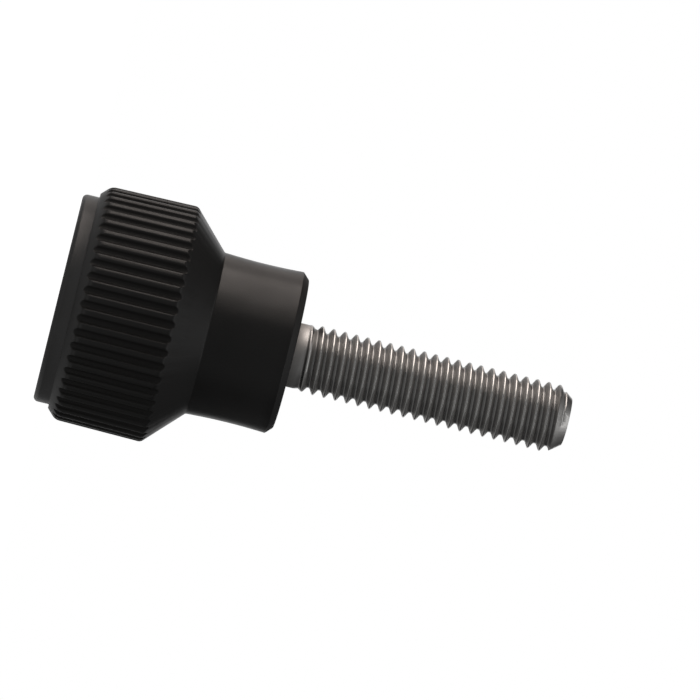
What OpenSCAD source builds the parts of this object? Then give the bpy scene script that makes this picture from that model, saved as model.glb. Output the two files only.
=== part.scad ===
// Knurled hand knob with a threaded stud moulded into it.
// It stands on its end disc at z = 0, with the stud pointing up along +Z.

/* [Grip] */
// Diameter over the ridges at the end nearest the disc
grip_d = 20.45; // [19.6:0.05:26]
// Length of the ridged band along the axis
grip_len = 7.52; // [5:0.01:14]
// Draft of the ridged band in degrees, wider towards the hub
grip_draft = 0.9; // [0:0.1:2]
// Rounding between the front chamfer and the ridged band
chamfer_edge_r = 0.95; // [0.2:0.05:1.2]
// Rounding between the ridged band and the shoulder
grip_edge_r = 0.55; // [0.2:0.05:0.8]
// Number of ridges round the grip
ridge_count = 52; // [40:1:64]
// Flat width left on top of each ridge
ridge_land = 0.16; // [0.1:0.01:0.3]
// Depth of the grooves below the ridge tops
groove_depth = 0.33; // [0.2:0.01:0.45]
// Share of a groove's side that the round of the ridge takes; the round of the groove's bottom takes the rest
ridge_share = 0.42; // [0.3:0.01:0.6]

/* [End disc] */
// Diameter of the flat disc on the end of the knob
disc_d = 18.16; // [14:0.02:18.6]
// Thickness of the disc up to the front of the grip
disc_t = 1.41; // [0.8:0.01:3]
// Rounding of the outer edge of the disc
disc_edge_r = 0.4; // [0.1:0.05:0.6]
// Width of the flat ledge between the disc and the chamfer of the grip
ledge_w = 0.33; // [0.05:0.01:0.4]

/* [Hub] */
// Diameter of the hub at its two ends
hub_d = 14.16; // [12.5:0.01:17]
// Length of the hub from the shoulder to its end face
hub_len = 7.53; // [5:0.01:14]
// How far the moulding shrinks in at the middle of the hub
hub_waist = 0.11; // [0:0.01:0.3]
// Chamfer on the end edge of the hub
hub_chamfer = 0.57; // [0.2:0.01:1.2]
// Angle between the shoulder cone and the axis in degrees
shoulder_angle = 46; // [35:1:60]
// Fillet between the shoulder and the hub
shoulder_fillet_r = 0.25; // [0.1:0.05:0.6]
// Room left round the thread by the countersink in the hub's end face
relief_clearance = 0.2; // [0.05:0.05:0.6]

/* [Stud] */
// Outer diameter of the M6 thread
stud_d = 5.95; // [5.7:0.01:6]
// Length of stud that stands out of the hub
stud_len = 24.35; // [10:0.05:40]
// Diameter of the plain neck and of the shank inside the knob
neck_d = 5.6; // [4.8:0.05:5.7]
// Length of the plain neck between hub and thread
neck_len = 1.5; // [0.5:0.1:4]
// Diameter of the flat at the tip
tip_d = 4.1; // [2.5:0.1:5]
// Length of the tapered tip
tip_len = 1.2; // [0.5:0.1:2.5]

/* [Anchor] */
// Width across the flats of the hexagonal anchor inside the knob
anchor_flats = 10; // [8:0.1:11]
// Thickness of the anchor
anchor_t = 4; // [2:0.1:6]
// Depth of the far side of the anchor below the hub's end face
anchor_depth = 14.7; // [10:0.1:15.5]

/* [Hidden] */
// Radii of the turned outline
disc_r = disc_d / 2;
ledge_r = disc_r + ledge_w;
hub_r = hub_d / 2;
grip_r_disc = grip_d / 2;
grip_r_hub = grip_r_disc + grip_len * tan(grip_draft);

// Heights of the turned outline; the slope between the ledge and the grip runs at 45 degrees
grip_z = disc_t + abs(grip_r_disc - ledge_r);
shoulder_z = grip_z + grip_len;
hub_z = shoulder_z + (grip_r_hub - hub_r) / tan(shoulder_angle);
head_h = hub_z + hub_len;
tip_z = head_h + stud_len;
anchor_z = head_h - anchor_depth;

// Groove section, unrolled at the tops of the ridges; its two rounds meet where both lean by the flank angle
ridge_pitch = PI * grip_d / ridge_count;
ridge_edge_y = (ridge_pitch - ridge_land) / 2;
both_radii = (pow(ridge_edge_y, 2) + pow(groove_depth, 2)) / (2 * groove_depth);
ridge_edge_r = ridge_share * both_radii;
groove_root_r = both_radii - ridge_edge_r;
flank_angle = asin(1 - groove_depth / both_radii);
groove_flare = ridge_land / 4;
groove_overcut = 0.1;

round_steps = 4;
ridge_steps = 2;
waist_steps = 10;
$fn = 120;

// Points of a circular arc about a centre
function arc(center, r, from, to, steps) =
    [for (i = [0 : steps]) let (a = from + (to - from) * i / steps) center + r * [cos(a), sin(a)]];

function unit(v) = v / norm(v);
function heading(v) = atan2(v.y, v.x);

// Smallest turn that brings one heading to another
function turn(from, to) = (to - from + 540) % 360 - 180;

// Corner b of the path a-b-c, rounded off with radius r
function rounded(a, b, c, r) =
    let (
        to_a = unit(a - b),
        to_c = unit(c - b),
        half = acos(to_a * to_c) / 2,
        center = b + unit(to_a + to_c) * r / sin(half),
        reach = r / tan(half),
        from = heading(b + to_a * reach - center),
        to = heading(b + to_c * reach - center)
    )
    arc(center, r, from, from + turn(from, to), round_steps);

// Side of the hub from the end of its fillet to its chamfer, drawn in at mid-length
function waisted_side(z0, z1) =
    [for (i = [1 : waist_steps]) let (x = 2 * i / waist_steps - 1)
        [hub_r - hub_waist * (1 - x * x), z0 + (z1 - z0) * i / waist_steps]];

// Solid of revolution that the grooves are cut into
module turned_head() {
    disc_edge = [disc_r, 0];
    disc_top = [disc_r, disc_t];
    ledge_edge = [ledge_r, disc_t];
    grip_start = [grip_r_disc, grip_z];
    grip_end = [grip_r_hub, shoulder_z];
    hub_start = [hub_r, hub_z];
    hub_end = [hub_r, head_h - hub_chamfer];
    fillet_reach = shoulder_fillet_r * tan(shoulder_angle / 2);
    rotate_extrude()
        polygon(concat(
            [[0, 0]],
            rounded([0, 0], disc_edge, disc_top, disc_edge_r),
            [disc_top, ledge_edge],
            rounded(ledge_edge, grip_start, grip_end, chamfer_edge_r),
            rounded(grip_start, grip_end, hub_start, grip_edge_r),
            rounded(grip_end, hub_start, hub_end, shoulder_fillet_r),
            waisted_side(hub_z + fillet_reach, hub_end.y),
            [[hub_r - hub_chamfer, head_h], [0, head_h]]
        ));
}

// Right half of a groove's section as [depth, distance from its middle], from above the ridge to the bottom
function half_groove() =
    let (
        edge = arc([ridge_edge_r, ridge_edge_y], ridge_edge_r, 180, 270 - flank_angle, ridge_steps),
        mouth = edge[0] + (edge[0] - edge[1]) * groove_flare / (edge[0] - edge[1]).y
    )
    concat(
        [[-groove_overcut, mouth.y], mouth],
        [for (i = [1 : ridge_steps - 1]) edge[i]],
        arc([groove_depth - groove_root_r, 0], groove_root_r, 90 - flank_angle, 0, round_steps)
    );

// Point of the unrolled section, wrapped round the grip and measured from its ridge tops
function wrapped(depth, y) =
    let (r = grip_r_disc - depth, a = y / grip_r_disc * 180 / PI)
    [r * cos(a) - grip_r_disc, r * sin(a)];

// One straight groove with a rounded bottom between rounded ridges, leaning out with the draft
module groove() {
    half = half_groove();
    last = len(half) - 1;
    translate([grip_r_disc, 0, grip_z])
        rotate([0, grip_draft, 0])
            translate([0, 0, disc_t - grip_z])
                linear_extrude(height = hub_z - disc_t)
                    polygon(concat(
                        [for (p = half) wrapped(p.x, p.y)],
                        [for (i = [1 : last]) wrapped(half[last - i].x, -half[last - i].y)]
                    ));
}

// Stud with neck, thread and tip, and the hexagonal anchor that the knob is moulded round
module stud_shape() {
    neck_r = neck_d / 2;
    stud_r = stud_d / 2;
    thread_z = head_h + neck_len;
    translate([0, 0, anchor_z])
        cylinder(d = anchor_flats / cos(30), h = anchor_t, $fn = 6);
    rotate_extrude()
        polygon([
            [0, anchor_z],
            [neck_r, anchor_z],
            [neck_r, thread_z],
            [stud_r, thread_z],
            [stud_r, tip_z - tip_len],
            [tip_d / 2, tip_z],
            [0, tip_z]
        ]);
}

// Countersink at 45 degrees round the stud, so that a clamped plate seats on the hub and not on the thread
module relief() {
    neck_r = neck_d / 2;
    mouth_r = stud_d / 2 + relief_clearance;
    translate([0, 0, head_h - (mouth_r - neck_r)])
        cylinder(r1 = neck_r, r2 = mouth_r, h = mouth_r - neck_r);
}

// Black moulding: disc, ridged grip, shoulder and hub, filled solid round the stud; a ridge top lies on +X
module knob_head() {
    color("#1a1a1b")
        difference() {
            turned_head();
            for (i = [0 : ridge_count - 1])
                rotate([0, 0, (i + 0.5) * 360 / ridge_count])
                    groove();
            relief();
            stud_shape();
        }
}

// Stainless stud; its thread is drawn as a plain cylinder of the outer diameter
module threaded_stud() {
    color("#a39d96")
        stud_shape();
}

knob_head();
threaded_stud();
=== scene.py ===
import math

import bpy
from mathutils import Matrix, Vector


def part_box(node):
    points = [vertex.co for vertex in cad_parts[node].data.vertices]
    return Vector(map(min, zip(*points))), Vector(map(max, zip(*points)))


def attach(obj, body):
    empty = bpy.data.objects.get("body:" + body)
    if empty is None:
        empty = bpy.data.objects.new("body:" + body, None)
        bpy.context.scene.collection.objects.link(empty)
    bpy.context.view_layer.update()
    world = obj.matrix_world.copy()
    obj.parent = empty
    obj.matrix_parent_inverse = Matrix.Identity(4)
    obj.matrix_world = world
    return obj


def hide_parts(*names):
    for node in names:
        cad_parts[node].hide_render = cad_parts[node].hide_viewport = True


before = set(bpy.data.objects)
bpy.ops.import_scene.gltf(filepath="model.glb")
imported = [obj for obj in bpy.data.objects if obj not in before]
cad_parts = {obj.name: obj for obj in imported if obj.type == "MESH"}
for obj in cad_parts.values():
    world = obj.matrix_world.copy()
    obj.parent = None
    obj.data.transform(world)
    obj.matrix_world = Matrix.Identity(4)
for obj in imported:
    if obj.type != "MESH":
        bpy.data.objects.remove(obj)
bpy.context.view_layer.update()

# A millimetre in metres
MM = 0.001

# Sizes in millimetres, the same as in the CAD source; the grip is a hair smaller, to stay inside the CAD box
HAIR = 0.0001
GRIP_R = 20.45 / 2 - HAIR
GRIP_DRAFT = math.tan(math.radians(0.9))
CHAMFER_EDGE_R = 0.95
GRIP_EDGE_R = 0.55
RIDGE_COUNT = 52
RIDGE_LAND = 0.16
GROOVE_DEPTH = 0.33
RIDGE_SHARE = 0.42
DISC_R = 18.16 / 2
DISC_T = 1.41
DISC_EDGE_R = 0.4
LEDGE_R = DISC_R + 0.33
HUB_R = 14.16 / 2
HUB_LEN = 7.53
HUB_WAIST = 0.11
HUB_CHAMFER = 0.57
SHOULDER_SLOPE = math.tan(math.radians(46))
SHOULDER_FILLET_R = 0.25
STUD_R = 5.95 / 2
NECK_R = 5.6 / 2
NECK_LEN = 1.5
RELIEF_R = STUD_R + 0.2
TIP_R = 4.1 / 2
TIP_LEN = 1.2
ANCHOR_FLATS = 10
ANCHOR_T = 4

# Heights that the CAD boxes give
HEAD_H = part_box("knob_head")[1][2] / MM
ANCHOR_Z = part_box("threaded_stud")[0][2] / MM
TIP_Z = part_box("threaded_stud")[1][2] / MM
HUB_Z = HEAD_H - HUB_LEN
HUB_END_Z = HEAD_H - HUB_CHAMFER
GRIP_Z = DISC_T + GRIP_R - LEDGE_R
THREAD_Z = HEAD_H + NECK_LEN

# Soft edges of the moulding, in millimetres
MOULD_EDGE_R = 0.12
CORNER_R = 0.06

# The grip's two edges get sharper in a groove, by a multiple of its depth, down to a smallest radius
EDGE_FADE = 3
GROOVE_END_R = 0.2

# Ring of points on the disc's flat face, inside its rounded edge
FACE_RING_R = 0.9 * DISC_R

# M6 thread in millimetres, which fades in on the neck
PITCH = 1.0
THREAD_FADE = 1.5
THREAD_ROOT_R = 0.23
CREST_EDGE_R = 0.05

# Helix of the thread, which starts some turns below the end of the hub and runs on past the tip
START_TURNS = 2.365
HELIX_Z = HEAD_H - START_TURNS * PITCH
HELIX_TURNS = math.ceil((TIP_Z - HELIX_Z) / PITCH) + 1
HELIX_END_Z = HELIX_Z + (HELIX_TURNS + 2) * PITCH

# Body that the tip is cut with, far wider than the stud and reaching below it
CUTTER_R = 12
CUTTER_REACH = 5

# Steps in the curves
CORNER_STEPS = 2
MOULD_EDGE_STEPS = 3
FILLET_STEPS = 4
EDGE_STEPS = 6
WAIST_STEPS = 8
GROOVE_BOTTOM_STEPS = 3
GROOVE_SIDE_STEPS = 2
RIDGE_STEPS = 4
CREST_STEPS = 3
ROOT_STEPS = 5
THREAD_STEPS = 96
CUTTER_STEPS = 128


# Paths

def unit(x, y):
    """The direction of (x, y), as a pair."""
    length = math.hypot(x, y)
    return x / length, y / length


def arc(center, radius, start, end, steps):
    """Points of a circular arc, both ends included."""
    angles = [start + (end - start) * i / steps for i in range(steps + 1)]
    return [(center[0] + radius * math.cos(a), center[1] + radius * math.sin(a)) for a in angles]


def rounded_corner(before, corner, after, radius, steps):
    """The corner of a path, rounded off with an arc."""
    ax, ay = unit(before[0] - corner[0], before[1] - corner[1])
    cx, cy = unit(after[0] - corner[0], after[1] - corner[1])
    half = math.acos(max(-1.0, min(1.0, ax * cx + ay * cy))) / 2
    bx, by = unit(ax + cx, ay + cy)
    center = (corner[0] + bx * radius / math.sin(half), corner[1] + by * radius / math.sin(half))
    reach = radius / math.tan(half)
    start = math.atan2(corner[1] + ay * reach - center[1], corner[0] + ax * reach - center[0])
    end = math.atan2(corner[1] + cy * reach - center[1], corner[0] + cx * reach - center[0])
    turn = (end - start + 3 * math.pi) % (2 * math.pi) - math.pi
    return arc(center, radius, start, start + turn, steps)


def rounded_path(corners):
    """A path through corners of (x, y, radius, steps), each rounded off unless its radius is 0."""
    points = []
    for i, (x, y, radius, steps) in enumerate(corners):
        if radius == 0:
            points.append((x, y))
        else:
            points += rounded_corner(corners[i - 1], (x, y), corners[i + 1], radius, steps)
    return points


def smooth_step(x):
    """A smooth rise from 0 to 1."""
    x = max(0.0, min(1.0, x))
    return x * x * (3 - 2 * x)


# Meshes

def mesh_object(name, vertices, faces):
    """A smooth-shaded mesh object from points in millimetres."""
    mesh = bpy.data.meshes.new(name)
    mesh.from_pydata([(x * MM, y * MM, z * MM) for x, y, z in vertices], [], faces)
    mesh.update()
    mesh.polygons.foreach_set("use_smooth", [True] * len(mesh.polygons))
    item = bpy.data.objects.new(name, mesh)
    bpy.context.scene.collection.objects.link(item)
    return item


def around(radius, angle, z):
    """A point at an angle round the axis."""
    return radius * math.cos(angle), radius * math.sin(angle), z


def column_faces(columns, rows):
    """Faces between neighbouring columns of points that stand round the axis."""
    faces = []
    for i in range(columns):
        here = i * rows
        there = (i + 1) % columns * rows
        faces += [(here + j, there + j, there + j + 1, here + j + 1) for j in range(rows - 1)]
    return faces


def hex_radius(angle):
    """Distance from the axis to the side of the hexagonal anchor."""
    side = math.pi / 3
    return ANCHOR_FLATS / 2 / math.cos(angle % side - side / 2)


def shank_radius(angle):
    """Distance from the axis to the side of the shank, the same at every angle."""
    return NECK_R


def even_normals(item):
    """Shades flat stretches flat and keeps the rounding to the rounded edges."""
    weighted = item.modifiers.new("normals", "WEIGHTED_NORMAL")
    weighted.keep_sharp = True


# Knob head

def half_groove():
    """Half of one groove and ridge as (angle, depth), from the groove's bottom to the ridge's top."""
    pitch = 2 * math.pi * GRIP_R / RIDGE_COUNT
    edge_y = (pitch - RIDGE_LAND) / 2
    both_radii = (edge_y ** 2 + GROOVE_DEPTH ** 2) / (2 * GROOVE_DEPTH)
    edge_r = RIDGE_SHARE * both_radii
    root_r = both_radii - edge_r
    flank = math.asin(1 - GROOVE_DEPTH / both_radii)

    # One point of the root lies at a sixth of the pitch, where a corner of the hexagon can fall
    root_center = (0, GROOVE_DEPTH - root_r)
    corner = math.acos(pitch / 6 / root_r)
    root = arc(root_center, root_r, math.pi / 2, corner, GROOVE_BOTTOM_STEPS)
    root += arc(root_center, root_r, corner, flank, GROOVE_SIDE_STEPS)[1:]
    edge = arc((edge_y, edge_r), edge_r, flank - math.pi, -math.pi / 2, RIDGE_STEPS)[1:]
    return [(y / GRIP_R, depth) for y, depth in root + edge + [(pitch / 2, 0)]]


def hub_waist():
    """Corners along the side of the hub, which shrinks in at mid-length."""
    start_z = HUB_Z + SHOULDER_FILLET_R * math.tan(math.atan(SHOULDER_SLOPE) / 2)
    corners = []
    for i in range(1, WAIST_STEPS):
        x = 2 * i / WAIST_STEPS - 1
        z = start_z + (HUB_END_Z - start_z) * i / WAIST_STEPS
        corners.append((HUB_R - HUB_WAIST * (1 - x * x), z, 0, 0))
    return corners


def head_path(depth):
    """Outline of the head, disc to bore, along a line where the grip is lowered by a groove's depth."""
    floor_r = GRIP_R - depth - GRIP_Z * GRIP_DRAFT
    start_z = (floor_r - LEDGE_R + DISC_T) / (1 - GRIP_DRAFT)
    end_z = (HUB_R + HUB_Z * SHOULDER_SLOPE - floor_r) / (SHOULDER_SLOPE + GRIP_DRAFT)
    chamfer_edge_r = max(GROOVE_END_R, CHAMFER_EDGE_R - EDGE_FADE * depth)
    grip_edge_r = max(GROOVE_END_R, GRIP_EDGE_R - EDGE_FADE * depth)
    return rounded_path([
        (FACE_RING_R, 0, 0, 0),
        (DISC_R, 0, DISC_EDGE_R, EDGE_STEPS),
        (DISC_R, DISC_T, CORNER_R, CORNER_STEPS),
        (LEDGE_R, DISC_T, CORNER_R, CORNER_STEPS),
        (floor_r + start_z * GRIP_DRAFT, start_z, chamfer_edge_r, EDGE_STEPS),
        (floor_r + end_z * GRIP_DRAFT, end_z, grip_edge_r, EDGE_STEPS),
        (HUB_R, HUB_Z, SHOULDER_FILLET_R, FILLET_STEPS),
        *hub_waist(),
        (HUB_R, HUB_END_Z, MOULD_EDGE_R, MOULD_EDGE_STEPS),
        (HUB_R - HUB_CHAMFER, HEAD_H, MOULD_EDGE_R, MOULD_EDGE_STEPS),
        (RELIEF_R, HEAD_H, CORNER_R, CORNER_STEPS),
        (NECK_R, HEAD_H - (RELIEF_R - NECK_R), 0, 0),
        (NECK_R, ANCHOR_Z + ANCHOR_T, 0, 0),
    ])


def depth_below_ridges(r, z):
    """How far a point lies below the turned outline that the grooves are cut into."""
    ridge_top = GRIP_R + (z - GRIP_Z) * GRIP_DRAFT
    chamfer = LEDGE_R + z - DISC_T
    shoulder = HUB_R + (HUB_Z - z) * SHOULDER_SLOPE
    return max(0.0, min(ridge_top, chamfer, shoulder) - r) if z > DISC_T else 0.0


def head_columns():
    """Columns of points round the axis, each following the outline at its depth in the knurl."""
    half = half_groove()
    pitch = 2 * math.pi / RIDGE_COUNT
    ridge = [(pitch / 2 - angle, depth) for angle, depth in half[:0:-1]]
    ridge += [(pitch / 2 + angle, depth) for angle, depth in half[:-1]]
    paths = [head_path(depth) for _, depth in ridge]
    columns = []
    for i in range(RIDGE_COUNT):
        for (offset, _), path in zip(ridge, paths):
            angle = i * pitch + offset
            column = [around(r, angle, z) for r, z in path]
            column.append(around(hex_radius(angle), angle, ANCHOR_Z + ANCHOR_T))
            column.append(around(hex_radius(angle), angle, ANCHOR_Z))
            columns.append(column)
    return columns


def build_head():
    """The moulding, with the depth in the grooves kept for its material."""
    columns = head_columns()
    rows = len(columns[0])
    vertices = [point for column in columns for point in column]
    faces = column_faces(len(columns), rows)

    # Flat ends: the disc's face and the bottom of the cavity round the anchor
    disc_center = len(vertices)
    cavity_center = disc_center + 1
    vertices += [(0, 0, 0), (0, 0, ANCHOR_Z)]
    for i in range(len(columns)):
        here = i * rows
        there = (i + 1) % len(columns) * rows
        faces.append((disc_center, there, here))
        faces.append((cavity_center, here + rows - 1, there + rows - 1))

    head = mesh_object("moulded_head", vertices, faces)
    depths = [depth_below_ridges(math.hypot(x, y), z) for x, y, z in vertices]
    head.data.attributes.new("groove_depth", "FLOAT", "POINT").data.foreach_set("value", depths)
    return head


# Stud

def thread_profile():
    """One pitch of an ISO thread as (share of the pitch, depth below the crest), from crest to crest."""
    crest_half = PITCH / 16
    flank = math.tan(math.radians(60))
    root_half = THREAD_ROOT_R * math.cos(math.radians(30))
    tangent = (PITCH / 2 - root_half, (PITCH / 2 - root_half - crest_half) * flank)
    root_center = (PITCH / 2, tangent[1] - THREAD_ROOT_R / 2)
    crest = rounded_corner((0, 0), (crest_half, 0), tangent, CREST_EDGE_R, CREST_STEPS)
    root = arc(root_center, THREAD_ROOT_R, math.radians(150), math.radians(90), ROOT_STEPS)
    middle = [tuple((a + b) / 2 for a, b in zip(crest[-1], root[0]))]
    half = [(0.0, 0.0)] + crest + middle + root
    other = [(PITCH - z, depth) for z, depth in half[-2:0:-1]]
    return [(z / PITCH, depth) for z, depth in half + other]


def thread_rows(profile):
    """Points and faces of a right-hand thread, with one row of points for each step round the axis."""
    row = len(profile)
    last = HELIX_TURNS * THREAD_STEPS
    fade_z = THREAD_Z - THREAD_FADE / 2
    vertices = []
    for i in range(last + 1):
        angle = 2 * math.pi * i / THREAD_STEPS
        for share, depth in profile:
            z = HELIX_Z + PITCH * (i / THREAD_STEPS + share)
            cut = smooth_step((z - fade_z) / THREAD_FADE)
            vertices.append(around(NECK_R + (STUD_R - depth - NECK_R) * cut, angle, z))
    faces = []
    for i in range(last):
        here = i * row
        there = here + row
        faces += [(here + j, there + j, there + j + 1, here + j + 1) for j in range(row - 1)]
        if i + 1 + THREAD_STEPS <= last:
            above = here + THREAD_STEPS * row
            faces.append((there - 1, there + row - 1, above + row, above))
    return vertices, faces


def add_ring(vertices, radius_at, z):
    """Adds a ring of points round the axis and gives their numbers."""
    first = len(vertices)
    for i in range(THREAD_STEPS):
        angle = 2 * math.pi * i / THREAD_STEPS
        vertices.append(around(radius_at(angle), angle, z))
    return range(first, first + THREAD_STEPS)


def add_shank(vertices, faces, row):
    """Shank and anchor below the thread; row is the number of points in one row of the thread."""
    shank = add_ring(vertices, shank_radius, ANCHOR_Z + ANCHOR_T)
    anchor_top = add_ring(vertices, hex_radius, ANCHOR_Z + ANCHOR_T)
    anchor_end = add_ring(vertices, hex_radius, ANCHOR_Z)
    anchor_center = len(vertices)
    vertices.append((0, 0, ANCHOR_Z))
    for i in range(THREAD_STEPS):
        j = (i + 1) % THREAD_STEPS
        if j > 0:
            faces.append((shank[i], shank[j], j * row, i * row))
        else:
            seam = list(range(row)) + [THREAD_STEPS * row]
            faces.append([shank[i], shank[0]] + seam + [i * row])
        faces.append((anchor_top[i], anchor_top[j], shank[j], shank[i]))
        faces.append((anchor_end[i], anchor_end[j], anchor_top[j], anchor_top[i]))
        faces.append((anchor_center, anchor_end[j], anchor_end[i]))


def add_flat_end(vertices, faces, row):
    """Flat end above the thread, which the tip cut removes; row is as for the shank."""
    last = HELIX_TURNS * THREAD_STEPS
    end = add_ring(vertices, shank_radius, HELIX_END_Z)
    end_center = len(vertices)
    vertices.append((0, 0, HELIX_END_Z))
    top = [(last - THREAD_STEPS + i) * row + row - 1 for i in range(THREAD_STEPS + 1)]
    for i in range(THREAD_STEPS):
        j = (i + 1) % THREAD_STEPS
        side = [top[i], top[i + 1], end[j], end[i]]
        if i == 0:
            side += [last * row + point for point in reversed(range(row))]
        faces.append(side)
        faces.append((end_center, end[i], end[j]))


def build_thread_blank():
    """The stud before its tip is cut: anchor, shank, neck and a thread that runs on past the tip."""
    profile = thread_profile()
    vertices, faces = thread_rows(profile)
    add_shank(vertices, faces, len(profile))
    add_flat_end(vertices, faces, len(profile))
    return mesh_object("stud", vertices, faces)


def build_tip_cutter():
    """A turned body far wider than the stud, with the tapered tip at its upper end."""
    taper = TIP_LEN / (STUD_R - TIP_R)
    taper_z = TIP_Z - (CUTTER_R - TIP_R) * taper
    outline = [(CUTTER_R, ANCHOR_Z - CUTTER_REACH), (CUTTER_R, taper_z), (TIP_R, TIP_Z)]
    angles = [2 * math.pi * i / CUTTER_STEPS for i in range(CUTTER_STEPS)]
    vertices = [around(r, angle, z) for angle in angles for r, z in outline]
    rows = len(outline)
    faces = column_faces(CUTTER_STEPS, rows)
    faces.append([i * rows for i in reversed(range(CUTTER_STEPS))])
    faces.append([i * rows + rows - 1 for i in range(CUTTER_STEPS)])
    return mesh_object("tip_cutter", vertices, faces)


def build_stud():
    """The stud with its thread, cut to its tapered tip."""
    stud = build_thread_blank()
    cutter = build_tip_cutter()
    cut = stud.modifiers.new("tip", "BOOLEAN")
    cut.operation = "INTERSECT"
    cut.solver = "EXACT"
    cut.object = cutter
    graph = bpy.context.evaluated_depsgraph_get()
    mesh = bpy.data.meshes.new_from_object(stud.evaluated_get(graph))
    stud.modifiers.clear()
    stud.data = mesh
    bpy.data.objects.remove(cutter)
    mesh.polygons.foreach_set("use_smooth", [True] * len(mesh.polygons))
    mesh.set_sharp_from_angle(angle=math.radians(32))
    return stud


# Materials

class Graph:
    """Short calls for the shader nodes that the materials and the world share."""

    def __init__(self, tree):
        self.nodes = tree.nodes
        self.links = tree.links

    def add(self, kind):
        """A new node."""
        return self.nodes.new(kind)

    def link(self, output, socket):
        """Joins an output to an input."""
        self.links.new(output, socket)

    def place(self):
        """Position in the object's own frame."""
        return self.add("ShaderNodeTexCoord").outputs["Object"]

    def split(self, vector):
        """The X, Y and Z of a vector."""
        node = self.add("ShaderNodeSeparateXYZ")
        self.link(vector, node.inputs["Vector"])
        return node.outputs

    def noise(self, vector, scale, detail):
        """Cloudy noise at a place."""
        node = self.add("ShaderNodeTexNoise")
        node.inputs["Scale"].default_value = scale
        node.inputs["Detail"].default_value = detail
        self.link(vector, node.inputs["Vector"])
        return node.outputs["Fac"]

    def ramp(self, value, low, high, to_low, to_high):
        """A value carried from one range to another, and held at its ends."""
        node = self.add("ShaderNodeMapRange")
        self.link(value, node.inputs["Value"])
        node.inputs["From Min"].default_value = low
        node.inputs["From Max"].default_value = high
        node.inputs["To Min"].default_value = to_low
        node.inputs["To Max"].default_value = to_high
        return node.outputs["Result"]

    def join(self, operation, first, second):
        """Two values joined by one step of arithmetic; the second may be a plain number."""
        node = self.add("ShaderNodeMath")
        node.operation = operation
        self.link(first, node.inputs[0])
        if isinstance(second, (int, float)):
            node.inputs[1].default_value = second
        else:
            self.link(second, node.inputs[1])
        return node.outputs["Value"]

    def mix(self, factor, first, second):
        """Two colours mixed by a factor; either may be a fixed colour or a socket."""
        node = self.add("ShaderNodeMix")
        node.data_type = "RGBA"
        self.link(factor, node.inputs["Factor"])
        sockets = [s for s in node.inputs if s.type == "RGBA"]
        for socket, colour in zip(sockets, (first, second)):
            if isinstance(colour, tuple):
                socket.default_value = (*colour, 1)
            else:
                self.link(colour, socket)
        return [s for s in node.outputs if s.type == "RGBA"][0]

    def distance(self, vector, point):
        """Distance of a place from a fixed point."""
        node = self.add("ShaderNodeVectorMath")
        node.operation = "DISTANCE"
        self.link(vector, node.inputs[0])
        node.inputs[1].default_value = point
        return node.outputs["Value"]

    def bump(self, height, strength, depth):
        """A normal that follows a height, whose full range is a depth in metres."""
        node = self.add("ShaderNodeBump")
        node.inputs["Strength"].default_value = strength
        node.inputs["Distance"].default_value = depth
        self.link(height, node.inputs["Height"])
        return node.outputs["Normal"]


def new_material(name):
    """A material with its graph and its shader."""
    material = bpy.data.materials.new(name)
    material.use_nodes = True
    graph = Graph(material.node_tree)
    return material, graph, graph.nodes["Principled BSDF"]


# Colours of the moulding and of the steel, each from the darker to the lighter end of its cloudy variation
BLACK = ((0.0125, 0.0123, 0.0122), (0.0195, 0.0188, 0.018))
# Paler colour of the groove floors: painted light that lifts the shade in the grooves
GROOVE_PAINTED_FILL = (0.03, 0.029, 0.028)
# The steel's two colours paint shade into the thread's roots and a highlight onto its crests
ROOT_PAINTED_SHADE = ((0.35, 0.344, 0.337), (0.44, 0.434, 0.427))
CREST_PAINTED_HIGHLIGHT = ((0.68, 0.668, 0.652), (0.8, 0.788, 0.772))

# Span that the noise mostly keeps to, and the roughness at the two ends of it
CLOUD_SPAN = (0.3, 0.7)
BLACK_ROUGH = (0.28, 0.38)
STEEL_ROUGH = (0.12, 0.22)

# Roughness that the grooves, the neck, the flanks of the thread and the tip add
GROOVE_DULL = 0.4
NECK_DULL = 0.64
FLANK_DULL = 0.3
TIP_DULL = 0.15

# Strength of the moulding's reflections outside and inside the grooves, and what the disc adds to it
BLACK_SHINE = (0.5, 0.15)
DISC_SHINE = 0.2

# What the end of the hub adds, both to the roughness and to the strength of the reflections
HUB_END_SATIN = 0.3

# Depths between which a groove's finish and its painted lift of the shade set in, in millimetres
GROOVE_SPAN = (0.04, 0.12)

# Radii between which the thread's roughness changes, and between which the painted shade in its roots turns
# into the painted highlight on its crests, in metres
ROOT_TO_FLANK = (2.48 * MM, 2.54 * MM)
FLANK_TO_CREST = (2.85 * MM, 2.93 * MM)
PAINTED_LIGHT_SPAN = (2.5 * MM, STUD_R * MM)

# Reach of the fades in the steel's finish, at the start of the thread and of the tip, in millimetres
STEEL_FADE = 0.3


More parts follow.
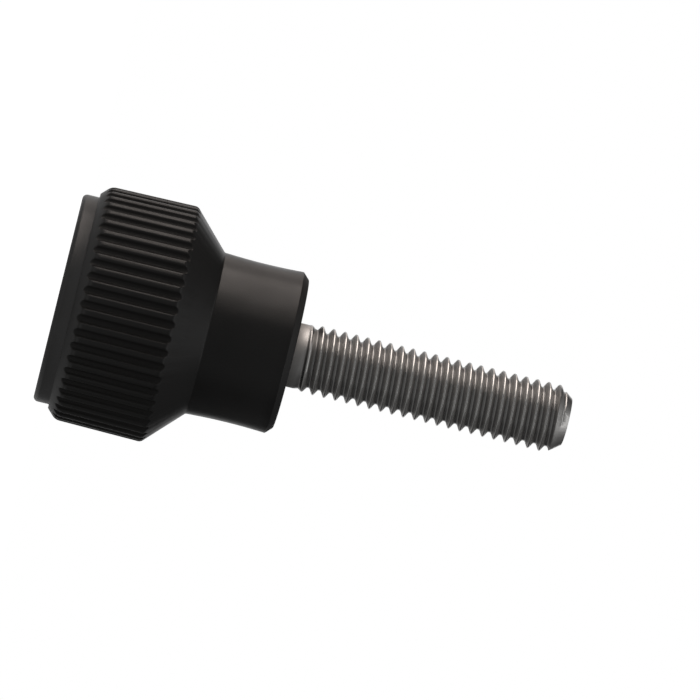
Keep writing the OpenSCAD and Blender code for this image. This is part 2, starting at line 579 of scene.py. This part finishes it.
def moulding_material():
    """Black filled nylon with a fine mould texture: dull in the grooves, where a paler painted colour lifts
    their shade, and glossier on the disc.
    """
    material, graph, shader = new_material("black_moulding")
    place = graph.place()
    z = graph.split(place)["Z"]
    cloud = graph.noise(place, 350, 4)
    grain = graph.noise(place, 9000, 2)
    depth = graph.add("ShaderNodeAttribute")
    depth.attribute_name = "groove_depth"
    groove = graph.ramp(depth.outputs["Fac"], *GROOVE_SPAN, 0.0, 1.0)
    disc = graph.ramp(z, DISC_T * MM, (DISC_T + CORNER_R) * MM, DISC_SHINE, 0.0)
    hub_end = graph.ramp(z, HUB_END_Z * MM, (HUB_END_Z + CORNER_R) * MM, 0.0, HUB_END_SATIN)

    # The grooves get a paler colour, painted light that lifts their shade
    colour = graph.mix(groove, graph.mix(cloud, *BLACK), GROOVE_PAINTED_FILL)
    graph.link(colour, shader.inputs["Base Color"])

    rough = graph.ramp(cloud, *CLOUD_SPAN, *BLACK_ROUGH)
    rough = graph.join("ADD", rough, graph.join("MULTIPLY", groove, GROOVE_DULL))
    graph.link(graph.join("ADD", rough, hub_end), shader.inputs["Roughness"])

    shine = graph.ramp(groove, 0.0, 1.0, *BLACK_SHINE)
    shine = graph.join("ADD", shine, graph.join("ADD", disc, hub_end))
    graph.link(shine, shader.inputs["Specular IOR Level"])
    graph.link(graph.bump(grain, 0.25, 0.00002), shader.inputs["Normal"])
    return material


def stainless_material():
    """Rolled stainless steel: crests painted lighter as a painted highlight, roots painted darker as painted
    shade, dull flanks and neck, fine lines round the axis.
    """
    material, graph, shader = new_material("stainless_steel")
    shader.inputs["Metallic"].default_value = 1
    place = graph.place()
    split = graph.split(place)
    z = split["Z"]
    flat = graph.add("ShaderNodeCombineXYZ")
    graph.link(split["X"], flat.inputs["X"])
    graph.link(split["Y"], flat.inputs["Y"])
    radius = graph.distance(flat.outputs["Vector"], (0, 0, 0))
    cloud = graph.noise(place, 700, 4)
    taper_z = TIP_Z - TIP_LEN
    tip = graph.ramp(z, taper_z * MM, (taper_z + STEEL_FADE) * MM, 0.0, 1.0)

    # Painted highlight on the crests and painted shade in the roots; the tip takes the crests' lighter colour
    crest = graph.ramp(radius, *PAINTED_LIGHT_SPAN, 0.0, 1.0)
    bright = graph.join("MAXIMUM", crest, tip)
    colour = graph.mix(bright, graph.mix(cloud, *ROOT_PAINTED_SHADE), graph.mix(cloud, *CREST_PAINTED_HIGHLIGHT))
    graph.link(colour, shader.inputs["Base Color"])

    neck = graph.ramp(z, HEAD_H * MM, THREAD_Z * MM, NECK_DULL, 0.0)
    thread = graph.ramp(z, (THREAD_Z - STEEL_FADE) * MM, (THREAD_Z + STEEL_FADE) * MM, 0.0, FLANK_DULL)
    above_root = graph.ramp(radius, *ROOT_TO_FLANK, 0.0, FLANK_DULL)
    below_crest = graph.ramp(radius, *FLANK_TO_CREST, FLANK_DULL, 0.0)
    flank = graph.join("MINIMUM", graph.join("MINIMUM", above_root, below_crest), thread)
    dull = graph.join("MAXIMUM", flank, graph.join("MULTIPLY", tip, TIP_DULL))
    rough = graph.join("ADD", graph.ramp(cloud, *CLOUD_SPAN, *STEEL_ROUGH), neck)
    graph.link(graph.join("ADD", rough, dull), shader.inputs["Roughness"])

    stretch = graph.add("ShaderNodeMapping")
    stretch.inputs["Scale"].default_value = (0.12, 0.12, 1)
    graph.link(place, stretch.inputs["Vector"])
    lines = graph.noise(stretch.outputs["Vector"], 16000, 3)
    graph.link(graph.bump(lines, 0.03, 0.00001), shader.inputs["Normal"])
    return material


# Floor and world, in metres

FLOOR_HALF = 2
FLOOR_COLOUR = (0.82, 0.82, 0.82)

# What the floor emits for the camera; the lamps bring it up to white
FLOOR_WHITE = 0.93

# Painted glow of the floor, which is no lamp and which only reflections show: its middle, under the front of
# the disc, its reach and its strength
GLOW_PLACE = (0, -0.008, 0)
GLOW_REACH = (0.008, 0.018)
GLOW_STRENGTH = (0.27, 0.06)

# Glows of the world: axis, span of the direction along it from no glow to the full one, and strength
BACKDROP = ("Y", 0.8, 1.0, 0.9)
SKY = ("Z", 0.4, 0.95, 0.12)
FRONT = ("Y", -0.3, -0.8, 0.14)
SIDE = ("X", 0.4, 0.9, 0.06)


def seen_directly(graph, path):
    """1 for what the camera sees, also through something clear, and 0 for other rays."""
    return graph.join("MAXIMUM", path.outputs["Is Camera Ray"], path.outputs["Is Transmission Ray"])


def floor_material():
    """Pale satin floor; the camera sees it as white except in the object's shadow, and reflections show a
    painted glow on it round the disc.
    """
    material, graph, shader = new_material("pale_floor")
    shader.inputs["Base Color"].default_value = (*FLOOR_COLOUR, 1)
    shader.inputs["Roughness"].default_value = 0.1
    shader.inputs["IOR"].default_value = 2.2
    shader.inputs["Emission Color"].default_value = (1, 1, 1, 1)
    path = graph.add("ShaderNodeLightPath")
    # Painted glow near the disc, given to reflections only
    glow = graph.ramp(graph.distance(graph.place(), GLOW_PLACE), *GLOW_REACH, *GLOW_STRENGTH)
    mirrored = graph.join("MULTIPLY", path.outputs["Is Glossy Ray"], glow)
    graph.link(mirrored, shader.inputs["Emission Strength"])

    matte = graph.add("ShaderNodeBsdfDiffuse")
    matte.inputs["Color"].default_value = (*FLOOR_COLOUR, 1)
    white = graph.add("ShaderNodeEmission")
    white.inputs["Strength"].default_value = FLOOR_WHITE
    seen = graph.add("ShaderNodeAddShader")
    graph.link(matte.outputs[0], seen.inputs[0])
    graph.link(white.outputs[0], seen.inputs[1])

    mix = graph.add("ShaderNodeMixShader")
    graph.link(seen_directly(graph, path), mix.inputs["Fac"])
    graph.link(shader.outputs[0], mix.inputs[1])
    graph.link(seen.outputs[0], mix.inputs[2])
    graph.link(mix.outputs[0], graph.nodes["Material Output"].inputs["Surface"])
    return material


def build_floor():
    """A wide flat floor under the disc."""
    corners = [(-1, -1), (1, -1), (1, 1), (-1, 1)]
    mesh = bpy.data.meshes.new("floor")
    mesh.from_pydata([(x * FLOOR_HALF, y * FLOOR_HALF, 0) for x, y in corners], [], [(0, 1, 2, 3)])
    floor = bpy.data.objects.new("floor", mesh)
    bpy.context.scene.collection.objects.link(floor)
    mesh.materials.append(floor_material())


def build_world():
    """White for the camera; reflections show it bright behind the object, and the light it gives is dim."""
    world = bpy.data.worlds.new("studio")
    bpy.context.scene.world = world
    world.use_nodes = True
    graph = Graph(world.node_tree)
    graph.nodes.clear()
    direction = graph.split(graph.add("ShaderNodeTexCoord").outputs["Generated"])
    path = graph.add("ShaderNodeLightPath")

    axis, low, high, strength = BACKDROP
    backdrop = graph.ramp(direction[axis], low, high, 0.0, strength)
    glow = graph.join("MULTIPLY", backdrop, path.outputs["Is Glossy Ray"])
    for axis, low, high, strength in (SKY, FRONT, SIDE):
        glow = graph.join("ADD", glow, graph.ramp(direction[axis], low, high, 0.0, strength))

    background = graph.add("ShaderNodeBackground")
    background.inputs["Color"].default_value = (1, 1, 1, 1)
    shown = graph.join("MAXIMUM", glow, seen_directly(graph, path))
    graph.link(shown, background.inputs["Strength"])
    output = graph.add("ShaderNodeOutputWorld")
    graph.link(background.outputs["Background"], output.inputs["Surface"])


# Lamps, with places and sizes in metres

WARM = (1, 0.9, 0.84)
WHITE = (1, 1, 1)


def add_softbox(name, place, target, size, power, colour):
    """A soft rectangular lamp that the camera doesn't see."""
    light = bpy.data.lights.new(name, "AREA")
    light.shape = "RECTANGLE"
    light.size, light.size_y = size
    light.energy = power
    light.color = colour
    item = bpy.data.objects.new(name, light)
    item.location = place
    item.rotation_euler = (Vector(target) - Vector(place)).to_track_quat("-Z", "Y").to_euler()
    item.visible_camera = False
    bpy.context.scene.collection.objects.link(item)


# Camera: where the axis lies in the picture, in pixels, and which height on it that point is, in millimetres

IMAGE_PIXELS = 700
PIXELS_PER_MM = 11.7
AXIS_TILT = math.radians(13.83)
AXIS_PIXEL = (300.5, 356.5)
AXIS_PIXEL_Z = 21.295
CAMERA_AZIMUTH = math.radians(-3.6)
CAMERA_ELEVATION = math.radians(-3.12)
CAMERA_DISTANCE = 0.45
CAMERA_NEAR = 0.01
SENSOR = 36


def build_camera():
    """A far camera, rolled so that the stud points right and slightly down in the picture."""
    level = math.cos(CAMERA_ELEVATION)
    back_x = math.sin(CAMERA_AZIMUTH) * level
    back_y = -math.cos(CAMERA_AZIMUTH) * level
    back = Vector((back_x, back_y, math.sin(CAMERA_ELEVATION)))
    axis = Vector((0, 0, 1))
    along = (axis - back * axis.dot(back)).normalized()
    across = back.cross(along)
    right = along * math.cos(AXIS_TILT) + across * math.sin(AXIS_TILT)
    up = across * math.cos(AXIS_TILT) - along * math.sin(AXIS_TILT)
    middle = IMAGE_PIXELS / 2
    pixel = MM / PIXELS_PER_MM
    aim = axis * AXIS_PIXEL_Z * MM
    aim += right * (middle - AXIS_PIXEL[0]) * pixel - up * (middle - AXIS_PIXEL[1]) * pixel
    camera = bpy.data.cameras.new("camera")
    camera.sensor_width = SENSOR
    camera.lens = SENSOR * CAMERA_DISTANCE / (IMAGE_PIXELS * pixel)
    camera.clip_start = CAMERA_NEAR
    item = bpy.data.objects.new("camera", camera)
    basis = Matrix((right, up, back)).transposed().to_4x4()
    item.matrix_world = Matrix.Translation(aim + back * CAMERA_DISTANCE) @ basis
    bpy.context.scene.collection.objects.link(item)
    bpy.context.scene.camera = item


# Part

head = build_head()
even_normals(head)
head.data.materials.append(moulding_material())
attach(head, "root")
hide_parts("knob_head")

stud = build_stud()
even_normals(stud)
stud.data.materials.clear()
stud.data.materials.append(stainless_material())
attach(stud, "root")
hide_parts("threaded_stud")

# Studio; each softbox has a place, a target, a size, a power and a colour

build_floor()
build_world()
add_softbox("key", (-0.3, 0, 0.055), (0, 0, 0.055), (0.27, 0.11), 0.12, WARM)
add_softbox("fill", (-0.32, 0.11, 0.06), (0, 0.11, 0.06), (0.86, 0.12), 0.24, WARM)
add_softbox("top", (-0.05, -0.075, 0.28), (-0.05, -0.075, 0), (0.4, 0.09), 0.08, WHITE)
build_camera()
bpy.context.scene.view_settings.view_transform = "Standard"
